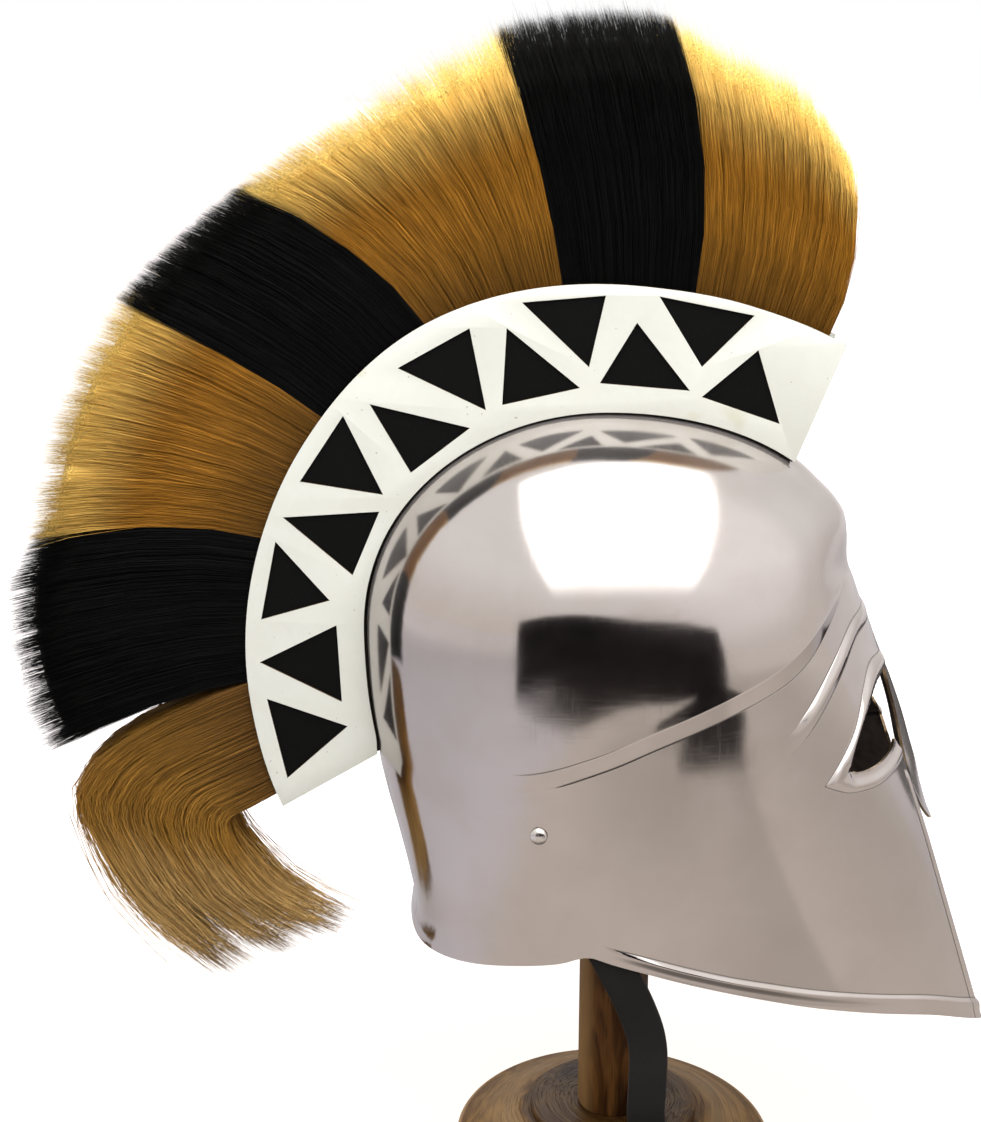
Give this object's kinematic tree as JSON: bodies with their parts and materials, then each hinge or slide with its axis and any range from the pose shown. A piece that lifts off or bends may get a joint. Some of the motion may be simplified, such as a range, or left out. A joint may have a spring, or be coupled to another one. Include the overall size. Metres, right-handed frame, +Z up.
{
  "type": "corinthian helmet on a wooden stand",
  "caption": "Polished steel corinthian helmet with brow ridges, nasal and cheek pieces, a pierced crest with a banded horsehair brush and tail, a leather strap and a turned wooden stand.",
  "frame": {"origin": "centre of the underside of the stand's base", "axes": "+X the way the helmet faces, +Y the wearer's left, +Z up"},
  "size_m": [0.5284, 0.2098, 0.6373],
  "materials": {
    "steel": "polished",
    "plate": "satin off-white",
    "core": "matt black",
    "saddle": "dark felt",
    "tan_hair": "horsehair, golden tan",
    "black_hair": "horsehair, black",
    "leather": "smooth black",
    "wood": "dark stain, satin"
  },
  "bodies": {
    "root": {"helmet_shell": "steel", "crest_plate_right": "plate", "crest_plate_left": "plate", "crest_core": "core", "crest_saddle": "saddle", "hair_tan_front": "tan_hair", "hair_black_top": "black_hair", "hair_tan_crown": "tan_hair", "hair_black_rear": "black_hair", "hair_tan_rear": "tan_hair", "hair_black_low": "black_hair", "hair_tail": "tan_hair", "chin_strap": "leather", "rivet_right": "steel", "rivet_left": "steel", "stand_base": "wood", "stand_post": "wood"}
  },
  "joints": []
}
